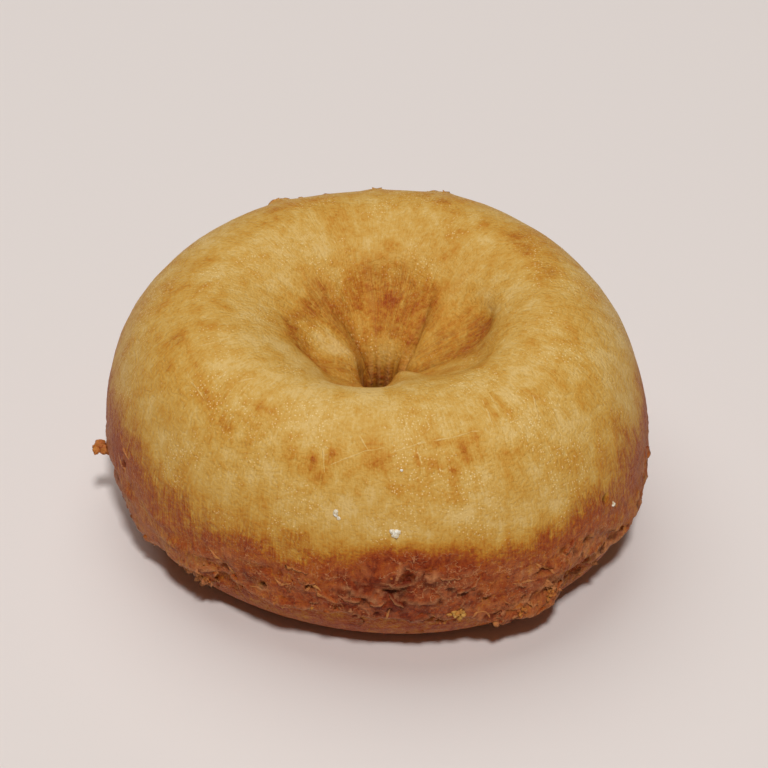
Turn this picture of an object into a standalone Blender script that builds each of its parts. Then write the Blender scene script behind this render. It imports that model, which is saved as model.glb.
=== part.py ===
"""A plain cake doughnut: one ring of fried dough, smooth and pale above, browned and cragged below.

Metres, +Z up. The origin is under the middle of the doughnut's bounding box, on the surface that it
rests on. -Y is the front and -X is the side with the crumb. Angles round the ring are in degrees,
counterclockwise from +X as seen from above, so 270 is the front.
"""

import math

import bmesh
import bpy
import numpy as np
from mathutils import Vector, noise

MM = 0.001

# Driving dimensions of the ring
OUTER_RADIUS = 40.0 * MM
HEIGHT = 39.4 * MM
WIDEST_HEIGHT = 16.9 * MM
CREST_RADIUS = 24.2 * MM
BASE_OUTER_RADIUS = 27.2 * MM
BASE_INNER_RADIUS = 19.0 * MM
THROAT_RADIUS = 3.5 * MM
THROAT_HEIGHT = 20.5 * MM

# How each quarter of the section bends: 2 is an ellipse, less is nearer a cone, more is boxier
OUTER_UPPER_BEND = 2.14
INNER_UPPER_BEND = 1.6
INNER_LOWER_BEND = 1.9
OUTER_LOWER_BEND = 2.15

# The outline from above, and the crest's height: (waves round the ring, size, angle of a high point)
OUTLINE_WAVES = ((2, 0.031, 148), (3, 0.018, 74))
CREST_WAVES = ((1, 0.25 * MM, 100), (2, 0.3 * MM, 20), (5, 0.2 * MM, 60))

# Where the hole is wider or narrower than a round funnel, by depth from 0 at the crest to 1 at the
# throat: (angle, depth, how far out, spread of the angle, spread of the depth)
HOLLOWS = (
    (0, 0.5, 4.4 * MM, 27, 0.16),
    (85, 0.52, 2.6 * MM, 30, 0.13),
    (208, 0.56, 3.0 * MM, 27, 0.11),
    (257, 0.44, 4.4 * MM, 19, 0.20),
    (272, 0.42, 1.2 * MM, 9, 0.2),
    (316, 0.38, 3.2 * MM, 22, 0.18),
    (312, 0.60, 2.4 * MM, 23, 0.11),
    (292, 0.54, -1.8 * MM, 9, 0.15),
)

# Pleats in the hole. A crease runs down from the mouth, and its angle drifts on the way to the throat:
# (angle at the mouth, angle at the throat, how far the lobe after it bulges, depth where it gets sharp)
PLEATS = (
    (84, 12, 0.9 * MM, 0.42),
    (172, 106, 3.0 * MM, 0.52),
    (184, 258, 0.3 * MM, 0.70),
    (288, 276, 1.8 * MM, 0.50),
    (344, 338, 1.6 * MM, 0.50),
)
LOBE_ROUNDNESS = 0.75
CREASE_DEPTH = 0.6 * MM
CREASE_WIDTH = math.radians(6)

# The depths over which the lobes rise and flatten again, and over which a crease gets sharp and fades
LOBES_RISE = (0.36, 0.66)
LOBES_FLATTEN = (0.70, 0.95)
LOBE_FLATTENING = 0.85
CREASE_RISE = 0.16
CREASES_FADE = (0.85, 1.0)
CREASE_FADING = 0.6
FOLDS_END_BELOW_THROAT = 0.7

# The throat stays at least this wide, and folds are eased into it
LEAST_THROAT_RADIUS = 3.22 * MM
THROAT_EASING = 0.25 * MM

# The browned band: where the pale skin ends above, with an arch at the front, and the ragged lip
# that hangs over the smooth base below
FRY_LINE_HEIGHT = 18.5 * MM
FRY_ARCH_HEIGHT = 3.5 * MM
FRY_ARCH_ANGLE = 276
FRY_ARCH_SPREAD = math.radians(34)
LIP_HEIGHT = 8.0 * MM
LIP_OVERHANG = 0.3 * MM
LIP_SLOPE = (-1.5 * MM, 1 * MM)
LIP_WAVES = ((1, 1.6 * MM, 262), (4, 1.1 * MM, 250), (7, 0.9 * MM, 20), (13, 0.5 * MM, 95))
CRAG_DEPTH = 0.75 * MM
CRAG_SIZE = 5.5 * MM
CRAG_FLATNESS = 2.2
CRAG_FADE = 5 * MM
BASE_OUTLINE_SHARE = 0.8

# Where the crust is torn in or bulges out: (angle, height, how far out, half width, half height)
TEARS = (
    (316, 9.0 * MM, -2.6 * MM, 3.2 * MM, 3.0 * MM),
    (326, 12.0 * MM, -1.3 * MM, 3.0 * MM, 2.0 * MM),
    (233, 9.5 * MM, -1.5 * MM, 3.0 * MM, 2.5 * MM),
    (306, 7.5 * MM, 1.1 * MM, 5.0 * MM, 2.6 * MM),
    (226, 10.0 * MM, 0.7 * MM, 4.0 * MM, 2.2 * MM),
    (5, 13.5 * MM, 0.9 * MM, 3.0 * MM, 2.5 * MM),
    (352, 12.0 * MM, -0.9 * MM, 2.4 * MM, 2.0 * MM),
    (118, 36.2 * MM, 0.6 * MM, 1.6 * MM, 1.2 * MM),
    (91, 36.8 * MM, 0.4 * MM, 2.4 * MM, 1.2 * MM),
    (72, 36.3 * MM, 0.5 * MM, 2.6 * MM, 1.2 * MM),
)

# The crumb that hangs on the left side, as lumps that overlap: (outwards, along, up, radius)
CRUMB_ANGLE = 184
CRUMB_HEIGHT = 13.2 * MM
CRUMB_LUMPS = (
    (-0.3 * MM, 0.0, -0.4 * MM, 1.0 * MM),
    (0.5 * MM, 0.2 * MM, 0.0, 0.8 * MM),
    (1.3 * MM, -0.1 * MM, 0.5 * MM, 0.85 * MM),
    (1.8 * MM, 0.5 * MM, 0.2 * MM, 0.7 * MM),
)

# Mesh columns round the ring, and rows along each stretch of the section, which starts at the widest
# point and runs up over the crest, down through the hole and back under the base
COLUMNS = 112
ROWS = {"outer_upper": 9, "inner_upper": 14, "inner_lower": 6, "base": 2, "outer_lower": 14}

CRUST_COLOUR = (0.47, 0.24, 0.07, 1.0)


def waves(angle, rows):
    """The sum of cosines listed as (waves round the ring, size, angle of a high point)."""
    total = np.zeros_like(angle)
    for count, size, high in rows:
        total += size * np.cos(count * (angle - math.radians(high)))
    return total


def turned_from(centre, angle):
    """How far the angle is from a centre given in degrees, between -pi and pi."""
    return (angle - math.radians(centre) + math.pi) % (2 * math.pi) - math.pi


def smooth_step(low, high, value):
    share = np.clip((value - low) / (high - low), 0, 1)
    return share * share * (3 - 2 * share)


def noise_at(points, size, seed):
    """Smooth noise between about -1 and 1 at each point, with features of the given size."""
    shift = Vector((7.3, 3.1, 5.7)) * seed
    return np.array([noise.noise(Vector(point) / size + shift) for point in points])


def quarter(share, bend):
    """A quarter of a superellipse: (across, up) runs from (1, 0) to (0, 1) as share runs from 0 to 1."""
    turned = share * math.pi / 2
    return np.cos(turned).clip(0) ** (2 / bend), np.sin(turned).clip(0) ** (2 / bend)


def kept_open(radius):
    """The radius, eased so that no fold closes the throat."""
    spare = (radius - LEAST_THROAT_RADIUS) / THROAT_EASING
    return LEAST_THROAT_RADIUS + THROAT_EASING * np.logaddexp(0, spare)


def pleats(angle, depth):
    """How far the hole's wall moves from its axis. The depth is 0 at the crest and 1 at the throat."""
    moved = np.zeros_like(angle)
    fold = smooth_step(*LOBES_RISE, depth) * (1 - LOBE_FLATTENING * smooth_step(*LOBES_FLATTEN, depth))
    crease_fade = 1 - CREASE_FADING * smooth_step(*CREASES_FADE, depth)
    for number, (mouth, throat, bulge, sharp) in enumerate(PLEATS):
        next_mouth, next_throat = PLEATS[(number + 1) % len(PLEATS)][:2]
        pinch = smooth_step(sharp, sharp + CREASE_RISE, depth) * crease_fade
        start = np.radians(mouth + (throat - mouth) * depth)
        end = np.radians(next_mouth + (next_throat - next_mouth) * depth)
        share = ((angle - start) % (2 * math.pi)) / ((end - start) % (2 * math.pi))
        moved -= bulge * fold * np.sin(math.pi * share.clip(0, 1)) ** LOBE_ROUNDNESS
        from_crease = np.abs((angle - start + math.pi) % (2 * math.pi) - math.pi)
        moved += CREASE_DEPTH * pinch * np.exp(-from_crease / CREASE_WIDTH)
    return moved


def outer_radius(angle):
    return OUTER_RADIUS * (1 + waves(angle, OUTLINE_WAVES))


def base_radius(angle):
    return BASE_OUTER_RADIUS * (1 + BASE_OUTLINE_SHARE * waves(angle, OUTLINE_WAVES))


def outer_upper(share, angle):
    across, up = quarter(share, OUTER_UPPER_BEND)
    crest = HEIGHT + waves(angle, CREST_WAVES)
    radius = CREST_RADIUS + (outer_radius(angle) - CREST_RADIUS) * across
    return radius, WIDEST_HEIGHT + (crest - WIDEST_HEIGHT) * up


def inner_upper(share, angle):
    across, up = quarter(1 - share, INNER_UPPER_BEND)
    crest = HEIGHT + waves(angle, CREST_WAVES)
    radius = CREST_RADIUS - (CREST_RADIUS - THROAT_RADIUS) * across + pleats(angle, share)
    for centre, depth, out, spread, depth_spread in HOLLOWS:
        away = turned_from(centre, angle) / math.radians(spread)
        radius += out * np.exp(-(away**2) - ((share - depth) / depth_spread) ** 2)
    return kept_open(radius), THROAT_HEIGHT + (crest - THROAT_HEIGHT) * up


def inner_lower(share, angle):
    across, up = quarter(share, INNER_LOWER_BEND)
    fold = pleats(angle, np.ones_like(angle)) * (1 - smooth_step(0, FOLDS_END_BELOW_THROAT, share))
    radius = BASE_INNER_RADIUS - (BASE_INNER_RADIUS - THROAT_RADIUS) * across + fold
    return kept_open(radius), THROAT_HEIGHT * (1 - up)


def base(share, angle):
    return BASE_INNER_RADIUS + (base_radius(angle) - BASE_INNER_RADIUS) * share, np.zeros_like(angle)


def outer_lower(share, angle):
    across, up = quarter(1 - share, OUTER_LOWER_BEND)
    return base_radius(angle) + (outer_radius(angle) - base_radius(angle)) * across, WIDEST_HEIGHT * (1 - up)


def fry_line(angle):
    """The height at which the pale skin turns into the browned band."""
    arch = np.exp(-((turned_from(FRY_ARCH_ANGLE, angle) / FRY_ARCH_SPREAD) ** 2))
    return FRY_LINE_HEIGHT + FRY_ARCH_HEIGHT * arch


def crust_relief(points, angle, height):
    """How far the browned crust stands out from the smooth section."""
    lip = LIP_HEIGHT + waves(angle, LIP_WAVES)
    over_lip = smooth_step(*LIP_SLOPE, height - lip)
    band = smooth_step(0, CRAG_FADE, fry_line(angle) - height) * over_lip
    wrinkles = noise_at(points * (1, 1, CRAG_FLATNESS), CRAG_SIZE, 3)
    lumps = noise_at(points, CRAG_SIZE * 2.2, 5)
    relief = band * CRAG_DEPTH * (1.2 * wrinkles + 0.9 * lumps) - LIP_OVERHANG * (1 - over_lip)
    for centre, middle, out, half_width, half_height in TEARS:
        along = turned_from(centre, angle) * OUTER_RADIUS / half_width
        up = (height - middle) / half_height
        relief += out * np.exp(-(along**2) - up**2)
    return relief


def ring_points(angle, row):
    """Every point of the ring, from its angle and its row along the section."""
    radius = np.zeros_like(angle)
    height = np.zeros_like(angle)
    cragged = np.zeros_like(angle)
    stretches = (outer_upper, inner_upper, inner_lower, base, outer_lower)
    first = 0
    for stretch in stretches:
        count = ROWS[stretch.__name__]
        here = (row >= first) & (row < first + count)
        share = (row[here] - first) / count
        radius[here], height[here] = stretch(share, angle[here])
        if stretch is outer_upper:
            cragged[here] = 1 - smooth_step(0.65, 0.95, share)
        if stretch is outer_lower:
            cragged[here] = smooth_step(0, 0.2, share)
        first += count
    smooth = np.stack([radius * np.cos(angle), radius * np.sin(angle), height], axis=1)
    relief = crust_relief(smooth, angle, height) * cragged
    rise = (height - WIDEST_HEIGHT) / (OUTER_RADIUS - CREST_RADIUS)
    out = np.stack([np.cos(angle), np.sin(angle), rise], axis=1)
    return smooth + out * (relief / np.hypot(1, rise))[:, None]


def make_ring():
    rows = sum(ROWS.values())
    bpy.ops.mesh.primitive_torus_add(
        major_segments=COLUMNS,
        minor_segments=rows,
        major_radius=CREST_RADIUS,
        minor_radius=OUTER_RADIUS - CREST_RADIUS,
    )
    ring = bpy.context.object
    ring.name = "doughnut"
    start = np.array([vertex.co for vertex in ring.data.vertices], np.float64)
    angle = np.arctan2(start[:, 1], start[:, 0])
    turned = np.arctan2(start[:, 2], np.hypot(start[:, 0], start[:, 1]) - CREST_RADIUS)
    row = np.rint(turned / (2 * math.pi) * rows) % rows
    ring.data.vertices.foreach_set("co", ring_points(angle, row).ravel())
    ring.data.update()
    return ring


def make_crumb(collection):
    """The hanging crumb's lumps, placed on the ring's side, as objects to be joined to it."""
    angle = np.array([math.radians(CRUMB_ANGLE)])
    out = Vector((math.cos(angle[0]), math.sin(angle[0]), 0))
    along = Vector((-out.y, out.x, 0))
    foot = out * float(outer_radius(angle)[0]) + Vector((0, 0, CRUMB_HEIGHT))
    for number, (outwards, sideways, up, radius) in enumerate(CRUMB_LUMPS):
        mesh = bpy.data.meshes.new(f"crumb_{number}")
        shape = bmesh.new()
        bmesh.ops.create_icosphere(shape, subdivisions=1, radius=radius)
        for vertex in shape.verts:
            vertex.co *= 1 + 0.25 * noise.noise(vertex.co / radius * 1.7 + Vector((number * 3.7, 0, 0)))
            vertex.co += foot + out * outwards + along * sideways + Vector((0, 0, up))
        shape.to_mesh(mesh)
        shape.free()
        collection.objects.link(bpy.data.objects.new(mesh.name, mesh))


def join(target, collection):
    """One union of the target with everything in the collection, which is then removed."""
    union = target.modifiers.new("join", "BOOLEAN")
    union.operation = "UNION"
    union.operand_type = "COLLECTION"
    union.collection = collection
    union.solver = "EXACT"
    bpy.context.view_layer.objects.active = target
    bpy.ops.object.modifier_apply(modifier=union.name)
    for piece in list(collection.objects):
        bpy.data.objects.remove(piece)
    bpy.data.collections.remove(collection)


def stand_on_origin(piece):
    """Moves the mesh so that the middle of its box's bottom is at the origin."""
    corners = np.array([vertex.co for vertex in piece.data.vertices])
    low = corners.min(axis=0)
    high = corners.max(axis=0)
    shift = Vector(((low[0] + high[0]) / 2, (low[1] + high[1]) / 2, low[2]))
    for vertex in piece.data.vertices:
        vertex.co -= shift


def crust_material():
    material = bpy.data.materials.new("crust")
    material.use_nodes = True
    surface = material.node_tree.nodes["Principled BSDF"]
    surface.inputs["Base Color"].default_value = CRUST_COLOUR
    surface.inputs["Roughness"].default_value = 0.45
    surface.inputs["Metallic"].default_value = 0.0
    return material


def main():
    for piece in list(bpy.data.objects):
        bpy.data.objects.remove(piece)
    collection = bpy.data.collections.new("cake_doughnut")
    bpy.context.scene.collection.children.link(collection)
    lumps = bpy.data.collections.new("crumb_lumps")
    bpy.context.scene.collection.children.link(lumps)

    ring = make_ring()
    for holder in list(ring.users_collection):
        holder.objects.unlink(ring)
    collection.objects.link(ring)
    make_crumb(lumps)
    join(ring, lumps)
    stand_on_origin(ring)
    ring.data.materials.clear()
    ring.data.materials.append(crust_material())
    ring.data.shade_smooth()


main()
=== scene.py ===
"""The looks of the plain cake doughnut: its pale skin, its browned flaky band and what sticks to it.

Metres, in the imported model's frame. Angles round the ring are in degrees, counterclockwise from +X as
seen from above, so 270 is the front. A place along the section is a number u: -1 at the base's outer
edge, 0 at the widest point, 1 at the crest, 2 at the throat, 3 at the base's inner edge, 4 as -1 again.
In the tables, lengths are in millimetres and places along the section in hundredths.
"""

import math

import bmesh
import bpy
import numpy as np
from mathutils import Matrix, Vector, noise


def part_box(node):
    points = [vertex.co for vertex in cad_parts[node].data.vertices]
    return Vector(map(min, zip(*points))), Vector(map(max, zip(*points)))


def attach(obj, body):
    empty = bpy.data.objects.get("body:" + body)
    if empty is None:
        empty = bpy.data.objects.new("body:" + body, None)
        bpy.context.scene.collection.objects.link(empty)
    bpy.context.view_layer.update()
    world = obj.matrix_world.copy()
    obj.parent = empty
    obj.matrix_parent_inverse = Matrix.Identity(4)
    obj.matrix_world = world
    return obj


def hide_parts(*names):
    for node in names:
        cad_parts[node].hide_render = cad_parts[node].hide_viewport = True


MM = 0.001
FULL_TURN = 2 * math.pi

# The ring's driving dimensions, the same as the solid's
OUTER_RADIUS = 40.0 * MM
HEIGHT = 39.4 * MM
WIDEST_HEIGHT = 16.9 * MM
CREST_RADIUS = 24.2 * MM
BASE_OUTER_RADIUS = 27.2 * MM
BASE_INNER_RADIUS = 19.0 * MM
THROAT_RADIUS = 3.5 * MM
THROAT_HEIGHT = 20.5 * MM
OUTER_UPPER_BEND = 2.14
INNER_UPPER_BEND = 1.6
INNER_LOWER_BEND = 1.9
OUTER_LOWER_BEND = 2.15
BASE_OUTLINE_SHARE = 0.8
OUTLINE_WAVES = ((2, 0.031, 148), (3, 0.018, 74))
CREST_WAVES = ((1, 0.25 * MM, 100), (2, 0.3 * MM, 20), (5, 0.2 * MM, 60))

# The hole, by depth from 0 at the crest to 1 at the throat: hollows as (angle, depth, how far out,
# spread of the angle, spread of the depth), and pleats as (angle at the mouth, angle at the throat,
# how far the lobe after it bulges, depth where it gets sharp)
HOLLOWS = (
    (0, 0.5, 4.4, 27, 0.16),
    (85, 0.52, 2.6, 30, 0.13),
    (208, 0.56, 3.0, 27, 0.11),
    (257, 0.44, 4.4, 19, 0.20),
    (272, 0.42, 1.2, 9, 0.2),
    (316, 0.38, 3.2, 22, 0.18),
    (312, 0.60, 2.4, 23, 0.11),
    (292, 0.54, -1.8, 9, 0.15),
)
PLEATS = (
    (84, 12, 0.9, 0.42),
    (172, 106, 3.0, 0.52),
    (184, 258, 0.3, 0.70),
    (288, 276, 1.8, 0.50),
    (344, 338, 1.6, 0.50),
)
LOBE_ROUNDNESS = 0.75
CREASE_DEPTH = 0.6 * MM
CREASE_WIDTH = math.radians(6)
LOBES_RISE = (0.36, 0.66)
LOBES_FLATTEN = (0.70, 0.95)
LOBE_FLATTENING = 0.85
CREASE_RISE = 0.16
CREASES_FADE = (0.85, 1.0)
CREASE_FADING = 0.6
FOLDS_END_BELOW_THROAT = 0.7
LEAST_THROAT_RADIUS = 0.92 * THROAT_RADIUS
THROAT_EASING = 0.25 * MM

# The browned band and the lip that hangs over the smooth base
FRY_LINE_HEIGHT = 18.5 * MM
FRY_ARCH_HEIGHT = 3.5 * MM
FRY_ARCH_ANGLE = 276
FRY_ARCH_SPREAD = math.radians(34)
LIP_HEIGHT = 8.0 * MM
LIP_OVERHANG = 0.3 * MM
LIP_SLOPE = (-1.5 * MM, 1 * MM)
LIP_WAVES = ((1, 1.6 * MM, 262), (4, 1.1 * MM, 250), (7, 0.9 * MM, 20), (13, 0.5 * MM, 95))
CRAG_DEPTH = 0.75 * MM
CRAG_SIZE = 5.5 * MM
CRAG_FLATNESS = 2.2
CRAG_FADE = 5 * MM

# Where the crust is torn in or bulges out: (angle, height, how far out, half width, half height)
TEARS = (
    (316, 9.0, -2.6, 3.2, 3.0),
    (326, 12.0, -1.3, 3.0, 2.0),
    (233, 9.5, -1.5, 3.0, 2.5),
    (306, 7.5, 1.1, 5.0, 2.6),
    (226, 10.0, 0.7, 4.0, 2.2),
    (5, 13.5, 0.9, 3.0, 2.5),
    (352, 12.0, -0.9, 2.4, 2.0),
    (118, 36.2, 0.6, 1.6, 1.2),
    (91, 36.8, 0.4, 2.4, 1.2),
    (72, 36.3, 0.5, 2.6, 1.2),
)

# The crumb that hangs on the left side, as lumps: (outwards, along, up, radius)
CRUMB_ANGLE = 184
CRUMB_HEIGHT = 13.2 * MM
CRUMB_LUMPS = (
    (-0.3, 0.0, -0.4, 1.0),
    (0.5, 0.2, 0.0, 0.8),
    (1.3, -0.1, 0.5, 0.85),
    (1.8, 0.5, 0.2, 0.7),
)

# The solid's own mesh, which gives the place of the ring's axis in the frame
SOLID_COLUMNS = 112
SOLID_ROWS = (14, 9, 14, 6, 2)

# The fine mesh: columns round the ring, half as many in the hole, and rows along each stretch
COLUMNS = 832
LOWER_ROWS = 56
UPPER_ROWS = 32
UPPER_SPACING = 1.35
HOLE_ROWS = 42
UNDER_ROWS = 13
BASE_ROWS = 5

# Where the pale skin turns brown: (angle, height, how far the change is spread)
FRY_LINE = (
    (0, 23.6, 7.8), (25, 22.6, 5.5), (52, 25.2, 4), (78, 24.4, 6.5), (103, 22, 3.6),
    (128, 24.6, 4.4), (150, 22.8, 7), (170, 23.5, 8.5), (190, 22.4, 9.2), (207, 20, 9),
    (220, 19.2, 7.6), (232, 18.9, 5.4), (243, 19.4, 4.6), (252, 19.6, 4), (272, 22.1, 2.5),
    (287, 21.2, 2.8), (299, 19.9, 4.2), (311, 20.6, 5.2), (321, 21.6, 7.4), (338, 23, 8.2),
)

# Torn holes in the band, with pale ragged rims that are partly painted highlight and painted shade
# inside: (angle, height, half width, half height, depth)
CAVITIES = (
    (201.7, 19.3, 0.7, 0.9, 0.7), (233.5, 13, 0.9, 0.8, 0.7), (243.7, 12.4, 0.8, 0.5, 0.7),
    (255, 14.9, 1, 0.5, 0.7), (266.5, 13.8, 1.3, 0.5, 0.5), (272.5, 15.7, 1.5, 0.6, 0.8),
    (276.3, 18.6, 1, 0.9, 0.8), (279.8, 19, 1.2, 0.5, 0.7), (281, 9.8, 1.6, 1, 0.7),
    (292.4, 13, 0.8, 0.5, 0.6), (304.9, 15.2, 1.5, 0.7, 1), (315.8, 16.6, 0.8, 1.5, 1),
    (318.6, 12, 1.8, 0.8, 0.5), (322, 22, 0.9, 0.6, 0.6), (40, 16, 1.6, 1.2, 1.1),
    (75, 13.5, 1.2, 0.8, 0.9), (104, 18, 1.4, 0.8, 0.9), (131, 14.5, 1.6, 1.2, 1.1),
    (156, 12, 1.1, 0.7, 0.8),
)

# Patches fried darker or paler, in front, on the sides and top, then in the hole, where a few paint
# light or shade instead: (angle, place, spread of the angle, spread of the place, change of the browning
# in hundredths)
PATCHES = (
    (256.5, 46, 1.8, 5, 34), (254, 55, 1.2, 7, 26), (258.5, 62, 1.3, 7, 20),
    (268.8, 58, 2.6, 3.5, 22), (267, 68, 1.6, 5, 16), (279, 62, 1, 8, 20), (283.2, 58, 2.2, 3, 28),
    (286, 68, 3, 2, 22), (291, 62, 1.6, 8, 34), (294.5, 66, 1.2, 7, 24), (286.8, 53, 2.6, 5, 34),
    (237, 76, 4, 4, 24), (229, 60, 5, 6, 18), (236.9, 53, 3, 4, 14), (302, 81, 1.2, 8, 24),
    (305.5, 84, 1, 7, 22), (315, 72, 1.6, 8, 22), (246.6, 56, 3, 5, 14), (274, 14, 12, 5, 12),
    (259.8, 69, 2.4, 3, -10), (310, 81, 2.6, 3.5, -14), (248.5, 58, 2.5, 4, -8),
    (262, 33, 16, 11, -12), (288, 30, 10, 8, -8), (270, 102, 40, 14, -6), (209, 77, 2.5, 6, 17),
    (220.5, 66, 2.5, 6, 17), (198, 78, 4, 5, 13), (178, 92, 4, 5, 14), (185, 105, 7, 6, 8),
    (160, 89, 3, 10, 13), (144.7, 94, 8, 5, 13), (130, 97, 6, 5, 15), (118, 88, 10, 6, 14),
    (72, 90, 10, 5, 16), (66, 100, 7, 4, 14), (38, 96, 6, 5, 10), (25, 100, 6, 5, 10),
    (10, 97, 6, 7, 12), (341.5, 81, 7, 7, 13), (328, 78, 4, 6, 12), (324, 97, 5, 5, 8),
    (333.7, 64, 5, 6, 10), (327, 46, 13, 16, 9), (233, 68, 8, 10, 6), (351, 58, 20, 16, -6),
    (198, 16, 9, 12, 14), (212, -6, 9, 12, -9), (228, -10, 5, 10, 8), (162, 97, 7, 6, -9),
    (213, 83, 3, 5, -9), (41, 111, 7, 6, -10), (143.5, 129, 10, 8, -8), (123, 120, 10, 8, -10),
    (97, 129, 8, 5, -6), (82, 157, 34, 12, 22), (110, 144, 12, 7, 6), (62, 166, 8, 3, 5),
    (50, 152, 6, 8, 16), (39, 164, 7, 8, 12), (72, 176, 26, 6, -14), (158, 145, 14, 7, 14),
    (133, 152, 7, 10, 8), (20, 150, 18, 10, 10), (357, 146, 9, 9, 20), (345, 150, 10, 10, 20),
    # The patch at (180, 161) pales a lobe in the hole that the wall shades: painted light.
    (332, 142, 8, 6, 14), (180, 161, 16, 9, -42), (162, 154, 8, 5, -10), (214, 152, 14, 4, 18),
    # This row darkens a line along a fold's rim in the hole: painted shade.
    (180, 139.5, 8, 3.5, 22), (194, 142.5, 9, 3, 26), (210, 144, 9, 3, 28), (226, 144, 8, 3, 22),
)

# Marks pressed into the skin by a rack, as (angle, place) along each
PRESS_MARKS = (
    ((256, 52), (261, 57.5), (266.3, 63.5), (271.8, 66)),
    ((270.5, 61), (276, 65.5), (281, 68.5), (287.6, 69.5), (294.2, 71), (299.9, 69)),
    ((303, 69), (305.5, 70), (308.5, 69)),
    ((251.6, 75), (252.6, 70), (254.2, 63)),
    ((254.9, 70), (256, 62), (257.2, 52), (257.3, 46)),
    ((264.2, 76), (265.6, 70), (267.5, 64)),
    ((277.8, 73), (279, 67)),
    ((279.4, 66), (280.3, 56)),
    ((301.5, 88), (300.6, 78), (299.8, 68)),
    ((304.6, 89), (303.6, 76)),
    ((315.8, 79), (313.5, 71), (311, 62)),
    ((205, 83), (207, 92), (208, 97)),
    ((209.8, 70), (213, 67), (216, 66.5), (220, 64)),
    ((224, 80), (226, 86), (229, 93)),
)

# Thin pale seams in the browned crust, as (angle, place) along each
SEAMS = (
    ((302.5, 2), (304, -2), (305.8, -5), (307.1, -8), (310, -16), (315, -24)),
    ((315, -24), (317.5, -22), (316.5, -13), (315.6, -7), (315.4, 0), (314.6, 5)),
    ((317.5, -22), (321, -28), (324.5, -26), (327, -20)),
    ((230.5, -2), (232.5, -7), (235, -12), (237.4, -21), (242.8, -18)),
    ((246, -5), (247.1, -7), (248.3, -11), (250.8, -7)),
    ((253.2, -12), (254.6, -9), (256.2, -5), (258.2, -9)),
    ((279, -17), (281.4, -20), (284.3, -30), (289.4, -30), (290.7, -23), (292.5, -23), (294.1, -32)),
    ((297.6, -7), (300.5, -9), (303.7, -11)),
    ((261.5, -12), (262.6, -20), (264.9, -30), (268.5, -30), (271.7, -23), (272.5, -14)),
    ((196.5, 11), (199, 5), (201.8, 3), (204, 0)),
    ((197.5, 16), (200.5, 12), (203, 11), (205.2, 6)),
)

# Large curled scraps: (angle, place, length, width, curl)
SCRAPS = (
    (219.5, -32, 1.8, 0.8, 0.4), (222, -31, 2.2, 1.1, 0.7), (223.8, -30, 1.6, 1, 0.8),
    (225.6, -33, 2.4, 1.3, 0.9), (227.4, -35, 1.8, 1.2, 1), (229, -33, 2.2, 1.2, 0.7),
    (226.5, -22, 1.6, 0.8, 0.5), (229.5, -17, 1.8, 0.7, 0.4), (295.1, -31, 1.8, 0.8, 0.5),
    (298.8, -29, 1.5, 0.9, 0.5), (303, -25, 1.9, 0.8, 0.5), (305.8, -17, 1.6, 0.9, 0.7),
    (307.8, -21, 2, 1, 0.8), (309, -26, 1.5, 0.9, 0.8), (318.5, -36, 1.8, 0.8, 0.5),
    (322.5, -30, 2.2, 0.9, 0.6), (324.5, -18, 1.6, 0.8, 0.5), (58, -28, 2.8, 1.5, 0.9),
    (97, -22, 2.6, 1.3, 0.8), (138, -34, 3, 1.5, 0.9), (165, -25, 2.4, 1.2, 0.7),
    (119.5, 66, 2, 0.6, 0.26), (116.5, 68, 1.8, 0.5, 0.18), (112, 69, 1.6, 0.5, 0.2),
    (104.5, 69, 1.8, 0.5, 0.2), (90.5, 70, 1.6, 0.5, 0.2), (75, 68, 1.8, 0.5, 0.2),
    (71, 67, 1.6, 0.6, 0.24),
)

# What sticks to the crust: crumbs as (angle, place, radius, browning), flour as (angle, place, radius),
# where the last flour speck is a painted highlight that stands in for a glint
CRUMBS = (
    (286, -20, 1, 0.22), (287.4, -25, 0.8, 0.26), (283.3, -31, 0.8, 0.5), (227.2, -36, 0.8, 0.5),
    (299.6, -27, 0.8, 0.6), (307.4, -27, 0.9, 0.62),
)
FLOUR_AND_GLINT_SPECKS = (
    # The last speck, at 324.3 degrees, stands in for a glint: painted highlight.
    (273.8, 25, 0.62), (260.5, 31.5, 0.5), (261.3, 29, 0.3), (275.3, 54.5, 0.25), (324.3, 7, 0.38),
)

# How much of the band carries flakes and crumbs, their sizes in millimetres, and the lines
FLAKE_SHARE = 0.03
FLAKE_LENGTHS = (1.0, 3.6)
FLAKE_WIDTHS = (0.35, 0.9)
FLAKE_CURLS = (0.12, 0.4)
LOOSE_CRUMB_SHARE = 0.0025
LOOSE_CRUMB_RADII = (0.10, 0.26)
GRAINS_PER_CRUMB = 9
GRAINS_PER_SPECK = 7
MARK_HALF_WIDTH = 0.15 * MM
SEAM_HALF_WIDTH = 0.26 * MM
LINE_STEPS = 26

# Shingles in the band as (height, how far they drift, size of the drift), and the pits' spacing
FLAPS = (4.6 * MM, 4.2 * MM, 7.5 * MM)
FLAKES = (1.9 * MM, 2.4 * MM, 3.2 * MM)
SHINGLE_EDGE = 0.09
PIT_SPACING = 2.3 * MM
SMALL_PIT_SPACING = 1.1 * MM

# How far each kind of roughness stands out in the band, in millimetres
FLAP_RELIEF = 0.42
FLAKE_RELIEF = 0.22
RIDGE_RELIEF = 0.14
FINE_RELIEF = 0.16
FINER_RELIEF = 0.10
RIM_RELIEF = 0.10
PIT_DEPTH = 0.40
SMALL_PIT_DEPTH = 0.16
LIP_BULGE = 0.35

# Browning, from 0 for unfried dough to 1 for the darkest crust
SKIN_DONE = 0.15
BAND_DONE = 0.60
LOW_BAND_DONE = 0.08
# Painted light: how much paler the strip under the lip is made against the shade there
STRIP_PAINTED_LIGHT = 0.09
FRONT_DARKER = 0.24
BAND_PALER = 0.13

# Fine streaks along the section, and between which spreads of the fry line they set in
STREAK_WIDTH = 0.32 * MM
STREAK_LENGTH = 2.4 * MM
SECTION_LENGTH = 26 * MM
STREAKED_SPREADS = (2.4 * MM, 6 * MM)

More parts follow.
